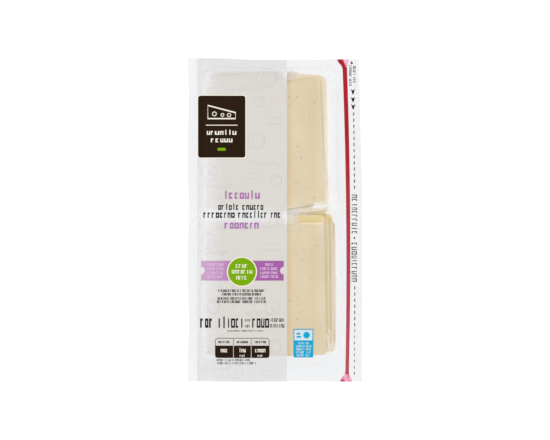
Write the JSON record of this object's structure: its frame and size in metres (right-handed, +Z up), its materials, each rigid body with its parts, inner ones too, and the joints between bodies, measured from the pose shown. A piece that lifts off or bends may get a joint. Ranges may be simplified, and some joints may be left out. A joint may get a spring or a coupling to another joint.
{
  "type": "pack of sliced cheese",
  "caption": "Shut clear pouch of stacked cheese slices, with a part-printed flat front, a formed back and a press-to-close strip along one long edge.",
  "frame": {"origin": "on the ground, under the middle of the pack's outline, with the pack lying on its formed back", "axes": "+Z up out of the printed face, +Y towards the top edge of the print, +X towards the edge with the press-to-close strip"},
  "size_m": [0.1328, 0.2462, 0.0272],
  "materials": {
    "clear_film": "thin clear film, glossy, slightly wrinkled",
    "cheese": "smooth moist pale cheese with small pits",
    "white_print": "thin white print on film, slightly see-through",
    "dark_print": "flat dark brown print",
    "lilac_print": "flat lilac print",
    "green_print": "flat leaf green print",
    "blue_print": "flat light blue print",
    "red_strip": "glossy red press-to-close strip, a little see-through"
  },
  "bodies": {
    "root": {"pouch": "clear_film", "zip_strip": "red_strip"}
  },
  "joints": []
}
